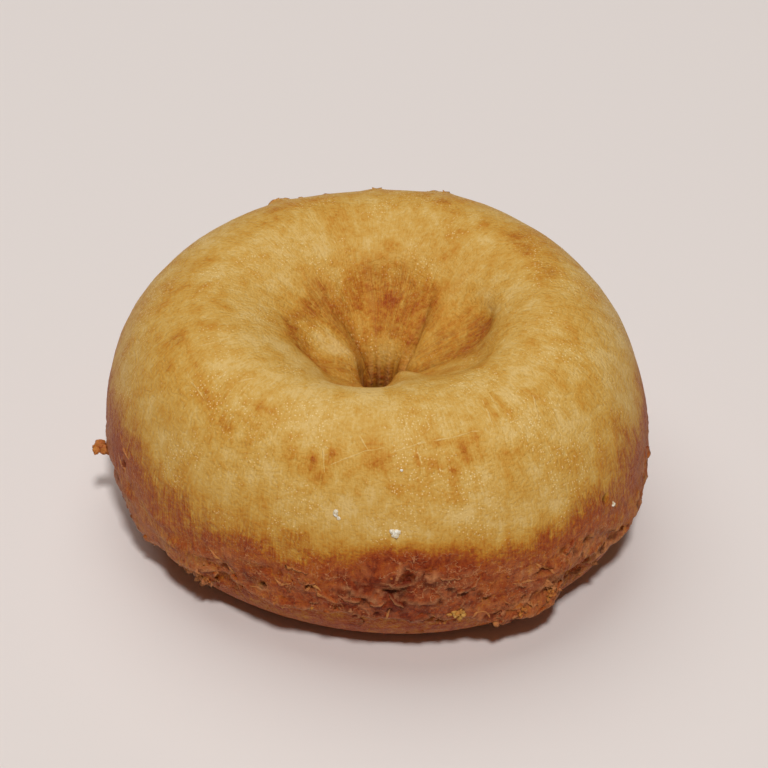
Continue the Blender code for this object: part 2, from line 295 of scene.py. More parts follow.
# The photograph's camera
CAMERA_ELEVATION = math.radians(37)
CAMERA_DISTANCE = 0.500
CAMERA_LENS = 155.3
SENSOR_WIDTH = 36.0
PIXELS_ACROSS = 768
AXIS_PIXEL = (379.0, 411.3)
AXIS_PIXEL_HEIGHT = 18.0 * MM

# Lights as (place, size, power)
KEY_LIGHT = ((0.14, -1.64, 2.54), 0.32, 55.0)
SOFTBOX = ((-0.20, 0.36, 1.28), 1.50, 8.0)
WORLD_COLOUR = (1.0, 0.84, 0.66, 1.0)
WORLD_STRENGTH = 0.08
FLOOR_COLOUR = (0.80, 0.735, 0.705, 1.0)


def waves(angle, rows):
    """The sum of cosines listed as (waves round the ring, size, angle of a high point)."""
    total = np.zeros_like(angle)
    for count, size, high in rows:
        total += size * np.cos(count * (angle - math.radians(high)))
    return total


def turned_from(centre, angle):
    """How far the angle is from a centre given in degrees, between -pi and pi."""
    return (angle - math.radians(centre) + math.pi) % FULL_TURN - math.pi


def smooth_step(low, high, value):
    share = np.clip((value - low) / (high - low), 0, 1)
    return share * share * (3 - 2 * share)


def bell(value, centre, width):
    return np.exp(-(((value - centre) / width) ** 2))


def sampled(pattern, points, size, seed):
    """A pattern's value at each point, with features of the given size."""
    shift = Vector((7.3, 3.1, 5.7)) * seed
    values = [pattern(Vector(point) / size + shift) for point in points.reshape(-1, 3)]
    return np.array(values).reshape(points.shape[:-1])


def noise_at(points, size, seed):
    """Smooth noise between about -1 and 1."""
    return sampled(noise.noise, points, size, seed)


def cells_at(points, size, seed):
    """How far the nearest of some scattered points is, where they lie about one size apart, in sizes."""
    return sampled(lambda place: noise.voronoi(place)[0][0], points, size, seed)


def quarter(share, bend):
    """A quarter of a superellipse: (across, up) runs from (1, 0) to (0, 1) as share goes from 0 to 1."""
    turned = share * math.pi / 2
    return np.cos(turned).clip(0) ** (2 / bend), np.sin(turned).clip(0) ** (2 / bend)


def kept_open(radius):
    """The radius, eased so that no fold closes the throat."""
    over = (radius - LEAST_THROAT_RADIUS) / THROAT_EASING
    return LEAST_THROAT_RADIUS + THROAT_EASING * np.logaddexp(0, over)


def pleat_parts(angle, depth):
    """(how far the lobes move the hole's wall from its axis, how near a sharp crease is), by depth."""
    moved = np.zeros_like(angle)
    crease = np.zeros_like(angle)
    fold = smooth_step(*LOBES_RISE, depth) * (1 - LOBE_FLATTENING * smooth_step(*LOBES_FLATTEN, depth))
    crease_fade = 1 - CREASE_FADING * smooth_step(*CREASES_FADE, depth)
    for number, (mouth, throat, bulge, sharp) in enumerate(PLEATS):
        next_mouth, next_throat = PLEATS[(number + 1) % len(PLEATS)][:2]
        pinch = smooth_step(sharp, sharp + CREASE_RISE, depth) * crease_fade
        start = np.radians(mouth + (throat - mouth) * depth)
        end = np.radians(next_mouth + (next_throat - next_mouth) * depth)
        share = ((angle - start) % FULL_TURN) / ((end - start) % FULL_TURN)
        moved -= bulge * MM * fold * np.sin(math.pi * share.clip(0, 1)) ** LOBE_ROUNDNESS
        from_crease = np.abs((angle - start + math.pi) % FULL_TURN - math.pi)
        crease += pinch * np.exp(-from_crease / CREASE_WIDTH)
    return moved, crease


def pleats(angle, depth):
    moved, crease = pleat_parts(angle, depth)
    return moved + CREASE_DEPTH * crease


def outer_radius(angle):
    return OUTER_RADIUS * (1 + waves(angle, OUTLINE_WAVES))


def base_radius(angle):
    return BASE_OUTER_RADIUS * (1 + BASE_OUTLINE_SHARE * waves(angle, OUTLINE_WAVES))


def outer_lower(share, angle):
    across, up = quarter(1 - share, OUTER_LOWER_BEND)
    radius = base_radius(angle) + (outer_radius(angle) - base_radius(angle)) * across
    return radius, WIDEST_HEIGHT * (1 - up)


def outer_upper(share, angle):
    across, up = quarter(share, OUTER_UPPER_BEND)
    crest = HEIGHT + waves(angle, CREST_WAVES)
    radius = CREST_RADIUS + (outer_radius(angle) - CREST_RADIUS) * across
    return radius, WIDEST_HEIGHT + (crest - WIDEST_HEIGHT) * up


def inner_upper(share, angle):
    across, up = quarter(1 - share, INNER_UPPER_BEND)
    crest = HEIGHT + waves(angle, CREST_WAVES)
    radius = CREST_RADIUS - (CREST_RADIUS - THROAT_RADIUS) * across + pleats(angle, share)
    for centre, depth, out, spread, depth_spread in HOLLOWS:
        away = turned_from(centre, angle) / math.radians(spread)
        radius += out * MM * np.exp(-(away**2) - ((share - depth) / depth_spread) ** 2)
    return kept_open(radius), THROAT_HEIGHT + (crest - THROAT_HEIGHT) * up


def inner_lower(share, angle):
    across, up = quarter(share, INNER_LOWER_BEND)
    fold = pleats(angle, np.ones_like(angle)) * (1 - smooth_step(0, FOLDS_END_BELOW_THROAT, share))
    radius = BASE_INNER_RADIUS - (BASE_INNER_RADIUS - THROAT_RADIUS) * across + fold
    return kept_open(radius), THROAT_HEIGHT * (1 - up)


def base(share, angle):
    return BASE_INNER_RADIUS + (base_radius(angle) - BASE_INNER_RADIUS) * share, np.zeros_like(angle)


def solid_fry_line(angle):
    """The height up to which the solid's crags reach."""
    arch = np.exp(-((turned_from(FRY_ARCH_ANGLE, angle) / FRY_ARCH_SPREAD) ** 2))
    return FRY_LINE_HEIGHT + FRY_ARCH_HEIGHT * arch


def lip_height(angle):
    return LIP_HEIGHT + waves(angle, LIP_WAVES)


def crust_relief(points, angle, height, overhang):
    """How far the solid's crust stands out from the smooth section."""
    over_lip = smooth_step(*LIP_SLOPE, height - lip_height(angle))
    band = smooth_step(0, CRAG_FADE, solid_fry_line(angle) - height) * over_lip
    wrinkles = noise_at(points * (1, 1, CRAG_FLATNESS), CRAG_SIZE, 3)
    lumps = noise_at(points, CRAG_SIZE * 2.2, 5)
    relief = band * CRAG_DEPTH * (1.2 * wrinkles + 0.9 * lumps) - overhang * (1 - over_lip)
    for centre, *sizes in TEARS:
        middle, out, half_width, half_height = (size * MM for size in sizes)
        along = turned_from(centre, angle) * OUTER_RADIUS / half_width
        up = (height - middle) / half_height
        relief += out * np.exp(-(along**2) - up**2)
    return relief


def ring_points(u, angle, overhang):
    """Every point of the solid's surface, from its place along the section and its angle."""
    radius = np.zeros_like(angle)
    height = np.zeros_like(angle)
    stretches = (outer_lower, outer_upper, inner_upper, inner_lower, base)
    for number, stretch in enumerate(stretches):
        here = (u >= number - 1) & (u < number)
        radius[here], height[here] = stretch(u[here] - (number - 1), angle[here])
    cragged = smooth_step(-1, -0.8, u) * (1 - smooth_step(0.65, 0.95, u))
    smooth = np.stack([radius * np.cos(angle), radius * np.sin(angle), height], axis=-1)
    relief = np.zeros_like(angle)
    some = cragged > 0
    relief[some] = crust_relief(smooth[some], angle[some], height[some], overhang) * cragged[some]
    rise = (height - WIDEST_HEIGHT) / (OUTER_RADIUS - CREST_RADIUS)
    out = np.stack([np.cos(angle), np.sin(angle), rise], axis=-1)
    return smooth + out * (relief / np.hypot(1, rise))[..., None]


def grid(places, columns):
    """(u, angle) for each row and column."""
    return np.meshgrid(places, np.arange(columns) / columns * FULL_TURN, indexing="ij")


def normals_of(points):
    """The way out at each point of a grid that closes on itself along its columns."""
    round_ring = np.roll(points, -1, axis=1) - np.roll(points, 1, axis=1)
    along_section = np.gradient(points, axis=0)
    out = np.cross(round_ring, along_section)
    return out / np.linalg.norm(out, axis=-1, keepdims=True)


def fry_line(angle):
    """The height where the pale skin turns brown, and how far the change is spread."""
    listed, heights, spreads = np.array(FRY_LINE).T
    line = np.interp(np.degrees(angle), listed, heights * MM, period=360)
    return line, np.interp(np.degrees(angle), listed, spreads * MM, period=360)


def axis_in_frame():
    """Where the ring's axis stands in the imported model's frame."""
    places = [first + np.arange(count) / count for first, count in zip(range(-1, 4), SOLID_ROWS)]
    u, angle = grid(np.concatenate(places), SOLID_COLUMNS)
    points = ring_points(u, angle, LIP_OVERHANG).reshape(-1, 3)
    low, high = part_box("doughnut")
    far = points.max(axis=0)
    return np.array([high.x - far[0], high.y - far[1], low.z - points[:, 2].min()])


def shingles(points, height, period, warp, size, seed):
    """Overlapping flaps with ragged lower edges: (how far out, how near that edge), 0 to 1."""
    drift = noise_at(points, size, seed) * warp + noise_at(points, size / 4, seed + 1) * warp / 5
    phase = (height + drift) / period
    along = phase - np.floor(phase)
    out = np.where(along < SHINGLE_EDGE, along / SHINGLE_EDGE, (1 - along) / (1 - SHINGLE_EDGE))
    return out, bell(along, SHINGLE_EDGE, 0.08)


def pits(points, size, seed):
    """Burst bubbles: (how deep, how near the rim), 0 to 1."""
    distance = cells_at(points, size, seed)
    some = smooth_step(0.0, 0.3, noise_at(points, size * 2.5, seed + 1))
    return some * (1 - smooth_step(0.12, 0.34, distance)), some * bell(distance, 0.4, 0.09)


def mottling(points):
    """Blotches of lighter and darker browning in the skin."""
    blotches = noise_at(points, 4.2 * MM, 42) + 0.6 * noise_at(points, 1.9 * MM, 43)
    return 0.13 * blotches + 0.08 * noise_at(points, 14 * MM, 44)


def outer_detail(points, u, angle):
    """The outside's fine relief and the values that its colours are made from."""
    height = points[..., 2]
    line, spread = fry_line(angle)
    ragged = noise_at(points * (1, 1, 0.4), 2.4 * MM, 11)
    broad = noise_at(points, 9 * MM, 12)
    fine = noise_at(points, 1.0 * MM, 13)
    finer = noise_at(points, 0.55 * MM, 14)
    below = line - height + spread * (0.28 * ragged + 0.35 * broad)
    lip = lip_height(angle) + 0.7 * MM * noise_at(points * (1, 1, 0.1), 1.6 * MM, 15)
    over_lip = smooth_step(-0.35 * MM, 0.35 * MM, height - lip)
    on_sides = bell(turned_from(205, angle), 0, math.radians(24))
    rough = 1 - 0.65 * on_sides
    band = smooth_step(-0.2, 1.1, below / spread)
    off_base = smooth_step(-1, -0.86, u)
    crags = band * over_lip * rough * off_base

    flap, flap_edge = shingles(points, height, *FLAPS, 21)
    flake, flake_edge = shingles(points, height, *FLAKES, 24)
    flaps_here = smooth_step(-0.25, 0.35, noise_at(points, 6 * MM, 27))
    flakes_here = smooth_step(-0.15, 0.35, noise_at(points, 4 * MM, 28))
    pit, rim = pits(points, PIT_SPACING, 31)
    small_pit = pits(points, SMALL_PIT_SPACING, 34)[0]
    ridge = (1 - np.abs(noise_at(points * (1, 1, 1.6), 2.6 * MM, 37)) * 5).clip(0) ** 1.5

    relief = crags * MM * (
        FLAP_RELIEF * flaps_here * (flap - 0.4)
        + FLAKE_RELIEF * flakes_here * (flake - 0.4)
        + RIDGE_RELIEF * ridge
        + FINE_RELIEF * fine
        + FINER_RELIEF * finer
        - PIT_DEPTH * pit
        + RIM_RELIEF * rim
        - SMALL_PIT_DEPTH * small_pit
    )
    skin = (1 - band) * smooth_step(-1, -0.8, u)
    relief += skin * MM * (0.22 * broad + 0.05 * noise_at(points, 3 * MM, 16) + 0.02 * fine)
    relief += band * (1 - crags) * MM * 0.07 * fine
    relief -= (1 - over_lip) * off_base * 0.15 * MM
    relief += MM * LIP_BULGE * bell(height, lip + 0.5 * MM, 0.6 * MM) * band * off_base

    # Paler flap and flake edges, ridges, pit rims and the lip line: partly the crust's own paler edges,
    # partly painted highlight.
    lip_edge = bell(height, lip + 0.25 * MM, 0.35 * MM)
    edge = crags * (
        0.6 * flap_edge * flaps_here
        + 0.4 * flake_edge * flakes_here
        + 0.25 * ridge
        + 0.2 * rim
    )
    edge += 0.6 * lip_edge * band
    # Painted shade: dark colour under the flap edges, in pits and just under the lip.
    shade_under_flaps = crags * flaps_here * bell(flap, 0.06, 0.10) * (flap_edge < 0.5)
    hollow = crags * (0.7 * pit + 0.4 * small_pit) + 0.5 * shade_under_flaps
    hollow += 0.5 * (1 - over_lip) * bell(height, lip - 0.4 * MM, 0.4 * MM)
    done = SKIN_DONE + 0.05 * broad + BAND_DONE * smooth_step(-1.3, 0.6, below / spread)
    done += LOW_BAND_DONE * smooth_step(0.5, 2.5, below / spread) * over_lip
    # Painted light: the strip under the lip is made paler against the shade there.
    done -= STRIP_PAINTED_LIGHT * (1 - over_lip) * smooth_step(0, 2, below / spread)
    done += (1 - band) * mottling(points)
    at_front = bell(turned_from(272, angle), 0, math.radians(27))
    uneven = 0.07 * fine + 0.13 * noise_at(points, 3.5 * MM, 41)
    done += band * (uneven + over_lip * (FRONT_DARKER * at_front - BAND_PALER))
    # Painted sheen: a pale haze over the band, faint at the front, added to the pale edges.
    painted_sheen = 0.16 + 0.5 * noise_at(points * (1, 1, 1.5), 5 * MM, 45)
    painted_sheen += 0.3 * noise_at(points, 1.6 * MM, 46)
    edge += band * over_lip * (1 - 0.9 * at_front) * painted_sheen.clip(0, 0.5)
    for centre, *sizes in CAVITIES:
        middle, half_width, half_height, depth = (size * MM for size in sizes)
        along = turned_from(centre, angle) * OUTER_RADIUS / half_width
        up = (height - middle) / half_height
        near = np.hypot(along, up) * (1 + 0.5 * ragged + 0.25 * fine)
        relief += depth * (0.14 * bell(near, 1.3, 0.25) - (1 - smooth_step(0.5, 1.15, near)))
        # Pale ragged rim, partly painted highlight, and painted shade inside the hole.
        edge += 0.4 * bell(near, 1.3, 0.22)
        hollow += 0.75 * (1 - smooth_step(0.3, 1.0, near))
    return relief, done, edge, hollow


def inner_detail(points, u, angle):
    """The hole's fine relief and the values that its colours are made from."""
    depth = u - 1
    in_hole = smooth_step(0.15, 0.45, depth)
    round_hole = np.stack([np.cos(angle) * 7, np.sin(angle) * 7, depth * 2.2], axis=-1)
    folds = noise_at(round_hole, 1, 51) + 0.5 * noise_at(round_hole * (2.3, 2.3, 1.3), 1, 52)
    broad = noise_at(points, 9 * MM, 12)
    fine = noise_at(points, 1.0 * MM, 13)
    on_top = 1 - smooth_step(0.9, 1.2, depth)
    relief = MM * (0.16 * in_hole * folds * on_top + 0.22 * broad * (1 - smooth_step(0.5, 0.8, depth)))
    relief += MM * 0.10 * fine * smooth_step(0.8, 1.3, depth) * (1 - smooth_step(1.8, 2.0, depth))
    relief += MM * 0.02 * fine
    relief = np.where(u > 3, -np.abs(MM * 0.12 * fine), relief)
    # Painted shade in the creases and towards the throat.
    crease = pleat_parts(angle, depth.clip(0, 1))[1] ** 3
    hollow = 0.4 * crease.clip(0, 1) * on_top
    hollow += 0.18 * smooth_step(0.88, 1.02, depth) * on_top
    done = SKIN_DONE + 0.05 * broad + 0.15 * smooth_step(0.28, 0.62, depth) + 0.05 * folds * in_hole
    done += 0.20 * smooth_step(0.75, 1.0, depth) + 0.12 * smooth_step(1.2, 1.9, depth)
    done += (1 - smooth_step(0.3, 1.4, depth)) * mottling(points)
    throat = smooth_step(0.72, 0.88, depth) * on_top
    gathers = noise_at(round_hole * (0.9, 0.9, 0.8), 1, 53)
    relief += MM * 0.5 * throat * gathers
    # Painted shade between the gathers, and painted highlight on the fold and gather tops.
    hollow += 0.25 * throat * smooth_step(0.05, 0.5, -gathers)
    edge = 0.12 * smooth_step(0.2, 0.7, folds) * in_hole * on_top
    edge += 0.4 * throat * smooth_step(0.1, 0.5, gathers)
    return relief, done, edge, hollow


def finished_grid(places, columns, detail, axis):
    """(points, points before the fine relief, values) of one grid of the fine mesh."""
    u, angle = grid(places, columns)
    smooth = ring_points(u, angle, LIP_OVERHANG)
    relief, done, edge, hollow = detail(smooth, u, angle)
    patched = np.zeros_like(done)
    for centre, place, spread, place_spread, change in PATCHES:
        away = turned_from(centre, angle) / math.radians(spread)
        above = (u - place / 100) / (place_spread / 100)
        patched += change / 100 * np.exp(-(away**2) - above**2)
    done += patched * (1 + 0.8 * noise_at(smooth, 1.7 * MM, 62))
    wander = 0.02 * noise_at(smooth, 6 * MM, 61)
    along = u * SECTION_LENGTH / STREAK_LENGTH
    around = OUTER_RADIUS / STREAK_WIDTH
    grain = np.stack([np.cos(angle + wander) * around, np.sin(angle + wander) * around, along], axis=-1)
    points = smooth + normals_of(smooth) * relief[..., None]
    points[..., 2] = points[..., 2].clip(0)
    streaky = smooth_step(*STREAKED_SPREADS, fry_line(angle)[1])
    values = {"done": done, "edge": edge.clip(0, 1), "hollow": hollow.clip(0, 1)}
    values |= {"grain": grain, "streaky": np.maximum(streaky, 0.3 * smooth_step(0.9, 1.2, u))}
    return points + axis, smooth, values


def grid_faces(first, rows, columns):
    """The quads of a grid whose points start at the given number."""
    column = np.arange(columns)
    after = (column + 1) % columns
    faces = []
    for row in range(rows - 1):
        low = first + row * columns
        high = low + columns
        faces.append(np.stack([low + column, low + after, high + after, high + column], axis=1))
    return np.concatenate(faces).tolist()


def stitch_faces(fine, coarse, columns, coarse_is_above):
    """The triangles between a row of this many columns and one with half as many."""
    faces = []
    for number in range(columns // 2):
        left = fine + 2 * number
        middle = left + 1
        right = fine + (2 * number + 2) % columns
        near = coarse + number
        far = coarse + (number + 1) % (columns // 2)
        if coarse_is_above:
            faces += [(left, middle, near), (middle, far, near), (middle, right, far)]
        else:
            faces += [(near, far, middle), (far, right, middle), (near, middle, left)]
    return faces


def new_piece(name, points, faces, values, material):
    """A smooth-shaded mesh object that rides on the doughnut's body, with named values at its points."""
    mesh = bpy.data.meshes.new(name)
    mesh.from_pydata(np.asarray(points).tolist(), [], faces)
    for label, numbers in values.items():
        kind = "FLOAT_VECTOR" if numbers.ndim == 2 else "FLOAT"
        field = "vector" if numbers.ndim == 2 else "value"
        mesh.attributes.new(label, kind, "POINT").data.foreach_set(field, numbers.ravel())
    mesh.shade_smooth()
    mesh.materials.append(material)
    piece = bpy.data.objects.new(name, mesh)
    bpy.context.scene.collection.objects.link(piece)
    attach(piece, "root")
    return piece


def make_doughnut(axis, material):
    """The whole ring. It returns its outside, for what sticks there."""
    lower = -1 + np.arange(LOWER_ROWS) / LOWER_ROWS
    upper = (np.arange(UPPER_ROWS + 1) / UPPER_ROWS) ** UPPER_SPACING
    upper[-1] -= 1e-6
    outer_places = np.concatenate([lower, upper])
    hole = 1 + np.arange(1, HOLE_ROWS + 1) / HOLE_ROWS
    under = 2 + np.arange(1, UNDER_ROWS + 1) / UNDER_ROWS
    bottom = 3 + np.arange(1, BASE_ROWS) / BASE_ROWS
    inner_places = np.concatenate([hole, under, bottom])
    outer, smooth, outer_values = finished_grid(outer_places, COLUMNS, outer_detail, axis)
    inner, _, inner_values = finished_grid(inner_places, COLUMNS // 2, inner_detail, axis)

    first_inner = outer.shape[0] * COLUMNS
    last_outer = first_inner - COLUMNS
    last_inner = first_inner + (inner.shape[0] - 1) * (COLUMNS // 2)
    faces = grid_faces(0, outer.shape[0], COLUMNS)
    faces += grid_faces(first_inner, inner.shape[0], COLUMNS // 2)
    faces += stitch_faces(last_outer, first_inner, COLUMNS, True)
    faces += stitch_faces(0, last_inner, COLUMNS, False)
    points = np.concatenate([outer.reshape(-1, 3), inner.reshape(-1, 3)])
    values = {}
    for label, numbers in outer_values.items():
        width = numbers.shape[2:]
        both = [numbers.reshape(-1, *width), inner_values[label].reshape(-1, *width)]
        values[label] = np.concatenate(both)
    piece = new_piece("doughnut_crust", points, faces, values, material)
    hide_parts("doughnut")
    return Skin(outer_places, outer, smooth, outer_values)


def srgb(red, green, blue):
    """A colour given as a screen's 0 to 255 values, as the linear values that a shader takes."""
    values = np.array([red, green, blue]) / 255
    linear = np.where(values <= 0.04045, values / 12.92, ((values + 0.055) / 1.055) ** 2.4)
    return (*linear, 1.0)


def add_node(tree, kind, inputs=None, **settings):
    """A shader node with its settings and inputs, each input a value or the output that feeds it."""
    made = tree.nodes.new("ShaderNode" + kind)
    for name, value in settings.items():
        setattr(made, name, value)
    for place, value in (inputs or {}).items():
        if isinstance(value, bpy.types.NodeSocket):
            tree.links.new(value, made.inputs[place])
        else:
            made.inputs[place].default_value = value
    return made


def math_node(tree, operation, first, second=0.0, third=0.0):
    inputs = {0: first, 1: second, 2: third}
    return add_node(tree, "Math", inputs, operation=operation).outputs[0]


def times(tree, first, second):
    return math_node(tree, "MULTIPLY", first, second)


def added(tree, value, share, level):
    """The level with a share of the value added."""
    return math_node(tree, "MULTIPLY_ADD", value, share, level)


def noise_node(tree, place, scale, detail=2.0, roughness=0.55):
    inputs = {"Vector": place, "Scale": scale, "Detail": detail, "Roughness": roughness}
    return add_node(tree, "TexNoise", inputs).outputs["Fac"]


def ramp_node(tree, level, stops):
    made = add_node(tree, "ValToRGB", {"Fac": level})
    elements = made.color_ramp.elements
    while len(elements) < len(stops):
        elements.new(0.5)
    for element, (position, colour) in zip(elements, stops):
        element.position = position
        element.color = colour
    return made.outputs["Color"]


def eased(tree, value, low, high):
    """0 up to low, 1 from high on, and smooth between. A low above high turns it round."""
    if low > high:
        return math_node(tree, "SUBTRACT", 1.0, eased(tree, value, high, low))
    inputs = {"Value": value, "From Min": low, "From Max": high}
    return add_node(tree, "MapRange", inputs, interpolation_type="SMOOTHSTEP").outputs["Result"]


def thin_lines(tree, value, half_width):
    """Lines that run where some noise is at its middle."""
    away = math_node(tree, "ABSOLUTE", math_node(tree, "SUBTRACT", value, 0.5))
    return eased(tree, away, half_width, 0.0)


def mixed(tree, share, first, second):
    inputs = {"Factor": share, "A": first, "B": second}
    made = tree.nodes.new("ShaderNodeMix")
    made.data_type = "RGBA"
    for name, value in inputs.items():
        socket = [entry for entry in made.inputs if entry.name == name and entry.enabled][0]
        if isinstance(value, bpy.types.NodeSocket):
            tree.links.new(value, socket)
        else:
            socket.default_value = value
    return [entry for entry in made.outputs if entry.enabled][0]


def attribute(tree, name, output="Fac"):
    return add_node(tree, "Attribute", attribute_name=name).outputs[output]


def new_material(name):
    material = bpy.data.materials.new(name)
    material.use_nodes = True
    return material, material.node_tree, material.node_tree.nodes["Principled BSDF"]


# Browning from unfried dough to the darkest crust
BROWNING = (
    (0.00, srgb(222, 185, 114)),
    (0.10, srgb(214, 171, 90)),
    (0.22, srgb(207, 156, 69)),
    (0.34, srgb(199, 138, 50)),
    (0.48, srgb(186, 114, 34)),
    (0.64, srgb(170, 85, 28)),
    (0.82, srgb(152, 63, 24)),
    (1.00, srgb(112, 35, 10)),
)
# A pale colour for paler edges with painted highlight and sheen, a dark one for painted shade and a
# light one for painted glints
PALE_EDGE_AND_HIGHLIGHT_COLOUR = srgb(208, 146, 98)
PAINTED_SHADE_COLOUR = srgb(60, 16, 5)
PAINTED_GLINT_COLOUR = srgb(248, 222, 165)

# How much each pattern moves the browning, and how strong the pale edges, lines and painted glints are
STREAK_SHARE = 0.50
LEAST_STREAK_SHARE = 0.26
MOTTLE_SHARE = 0.46
SPECKLE_SHARE = 0.34
GRIT_SHARE = 0.75
LEVEL_SHIFT = 0.40
PALE_EDGE_AND_HIGHLIGHT_STRENGTH = 0.7
LINE_STRENGTH = 0.6
PAINTED_GLINT_STRENGTH = 0.6
CRUST_SPECULAR = 0.11
BUMP_STRENGTH = 0.7
BUMP_HEIGHT = 0.22 * MM


def crust_material():
    """Fried dough: browning broken up by streaks and mottling, with pale edges that are partly painted
    highlight and sheen, painted shade in pits and creases, and painted glints.
    """
    material, tree, surface = new_material("crust_look")
    place = add_node(tree, "TexCoord").outputs["Object"]
    done = attribute(tree, "done")
    streaks = noise_node(tree, attribute(tree, "grain", "Vector"), 1.0, 3.0)
    mottle = noise_node(tree, place, 520.0, 3.0)
    speckle = noise_node(tree, place, 2100.0, 2.0)
    rising = eased(tree, done, 0.22, 0.42)
    falling = eased(tree, done, 0.82, 0.60)
    fading = times(tree, rising, falling)
    streaked = times(tree, fading, attribute(tree, "streaky"))
    streak_share = added(tree, streaked, STREAK_SHARE, LEAST_STREAK_SHARE)
    centred = math_node(tree, "SUBTRACT", streaks, 0.5)
    level = added(tree, centred, streak_share, done)
    level = added(tree, mottle, MOTTLE_SHARE, level)
    level = added(tree, speckle, SPECKLE_SHARE, level)
    grit = math_node(tree, "SUBTRACT", noise_node(tree, place, 1100.0, 3.0, 0.7), 0.5)
    grit_share = times(tree, eased(tree, done, 0.22, 0.5), GRIT_SHARE)
    level = added(tree, grit, grit_share, level)
    level = math_node(tree, "SUBTRACT", level, LEVEL_SHIFT)
    colour = ramp_node(tree, level, BROWNING)
    # Paler edges: partly the crust's own, partly painted highlight and sheen.
    edge = times(tree, attribute(tree, "edge"), PALE_EDGE_AND_HIGHLIGHT_STRENGTH)
    colour = mixed(tree, edge, colour, PALE_EDGE_AND_HIGHLIGHT_COLOUR)

    browned = eased(tree, done, 0.55, 0.72)
    wrinkle = thin_lines(tree, noise_node(tree, place, 430.0, 3.0), 0.018)
    wrinkled = eased(tree, noise_node(tree, place, 170.0, 1.0), 0.47, 0.56)
    wrinkle = times(tree, times(tree, wrinkle, wrinkled), browned)
    fibre = times(tree, thin_lines(tree, streaks, 0.02), streaked)
    fibre = times(tree, fibre, LINE_STRENGTH)
    lines = math_node(tree, "MAXIMUM", times(tree, wrinkle, LINE_STRENGTH), fibre)
    colour = mixed(tree, lines, colour, PALE_EDGE_AND_HIGHLIGHT_COLOUR)
    # Painted shade in pits, creases, torn holes and under edges.
    colour = mixed(tree, attribute(tree, "hollow"), colour, PAINTED_SHADE_COLOUR)

    # Painted glints: small pale dots in clusters on the pale skin.
    cells = add_node(tree, "TexVoronoi", {"Vector": place, "Scale": 2100.0})
    dots = eased(tree, cells.outputs["Distance"], 0.30, 0.16)
    clusters = eased(tree, noise_node(tree, place, 130.0, 3.0), 0.48, 0.61)
    pale = added(tree, eased(tree, done, 0.22, 0.40), -0.75, 1.0)
    painted_glint = times(tree, times(tree, dots, clusters), pale)
    colour = mixed(tree, times(tree, painted_glint, PAINTED_GLINT_STRENGTH), colour, PAINTED_GLINT_COLOUR)
    tree.links.new(colour, surface.inputs["Base Color"])
    shine = added(tree, speckle, 0.4, 0.24)
    tree.links.new(shine, surface.inputs["Roughness"])
    surface.inputs["Specular IOR Level"].default_value = CRUST_SPECULAR
    bumps = added(tree, speckle, 1.7, times(tree, streaks, 0.5))
    bumps = added(tree, mottle, 0.8, bumps)
    bumps = added(tree, lines, 0.5, bumps)
    bumps = added(tree, times(tree, grit, grit_share), 4.0, bumps)
    bump = add_node(tree, "Bump", {"Height": bumps, "Strength": BUMP_STRENGTH, "Distance": BUMP_HEIGHT})
    tree.links.new(bump.outputs["Normal"], surface.inputs["Normal"])
    return material


def flour_and_glint_material():
    """Dried flour and starch, off-white and chalky; the same look serves a speck that stands in for a
    glint, a painted highlight.
    """
    material, tree, surface = new_material("flour_and_glint_look")
    place = add_node(tree, "TexCoord").outputs["Object"]
    grains = noise_node(tree, place, 3000.0, 2.0)
    colour = ramp_node(tree, grains, ((0.35, srgb(214, 196, 158)), (0.6, srgb(246, 240, 226))))
    tree.links.new(colour, surface.inputs["Base Color"])
    surface.inputs["Roughness"].default_value = 0.75
    return material


def closed_sheet(top, bottom):
    """The points and faces of a thin closed shell between two grids of the same size."""
    rows, columns = top.shape[:2]
    size = rows * columns
    number = np.arange(size).reshape(rows, columns)
    quads = np.stack([number[:-1, :-1], number[1:, :-1], number[1:, 1:], number[:-1, 1:]], axis=-1)
    faces = quads.reshape(-1, 4).tolist()
    faces += (quads.reshape(-1, 4)[:, ::-1] + size).tolist()
    rim = np.concatenate([number[0, :-1], number[:-1, -1], number[-1, :0:-1], number[:0:-1, 0]])
    for here, after in zip(rim, np.roll(rim, -1)):
        faces.append((int(here), int(after), int(after) + size, int(here) + size))
    return np.concatenate([top.reshape(-1, 3), bottom.reshape(-1, 3)]), faces


def joined(parts):
    """Many (points, faces, values) as one, renumbered and with nothing below the floor."""
    points = []
    faces = []
    values = {}
    count = 0
    for some_points, some_faces, some_values in parts:
        points.append(some_points)
        faces += [tuple(number + count for number in face) for face in some_faces]
        count += len(some_points)
        for label, numbers in some_values.items():
            values.setdefault(label, []).append(numbers)
    together = np.concatenate(points)
    together[:, 2] = together[:, 2].clip(0)
    return together, faces, {label: np.concatenate(rows) for label, rows in values.items()}


def look(count, done, edge):
    """The colour values of a small thing's points. Each is one number or one for each point."""
    values = {"done": np.full(count, done), "edge": np.full(count, edge), "hollow": np.zeros(count)}
    return values | {"streaky": np.zeros(count), "grain": np.zeros((count, 3))}


class Skin:
    """The ring's outside as a grid, for placing what sticks to it."""

    def __init__(self, places, points, smooth, values):
        self.places = places
        self.points = points
        self.values = values
        self.out = normals_of(smooth)
        rise = np.gradient(smooth, axis=0)
        self.up = rise / np.linalg.norm(rise, axis=-1, keepdims=True)

    def at(self, angle, place):
        """(point, way out, way up) at an angle in degrees and a place in hundredths."""
        row = np.interp(place / 100, self.places, np.arange(len(self.places)))
        column = (angle / 360 * COLUMNS) % COLUMNS
        low = int(min(row, len(self.places) - 2))
        left = int(column)
        right = (left + 1) % COLUMNS
        found = []
        for known in (self.points, self.out, self.up):
            near = known[low : low + 2, left] * (left + 1 - column)
            below, above = near + known[low : low + 2, right] * (column - left)
            found.append(below * (low + 1 - row) + above * (row - low))
        return found


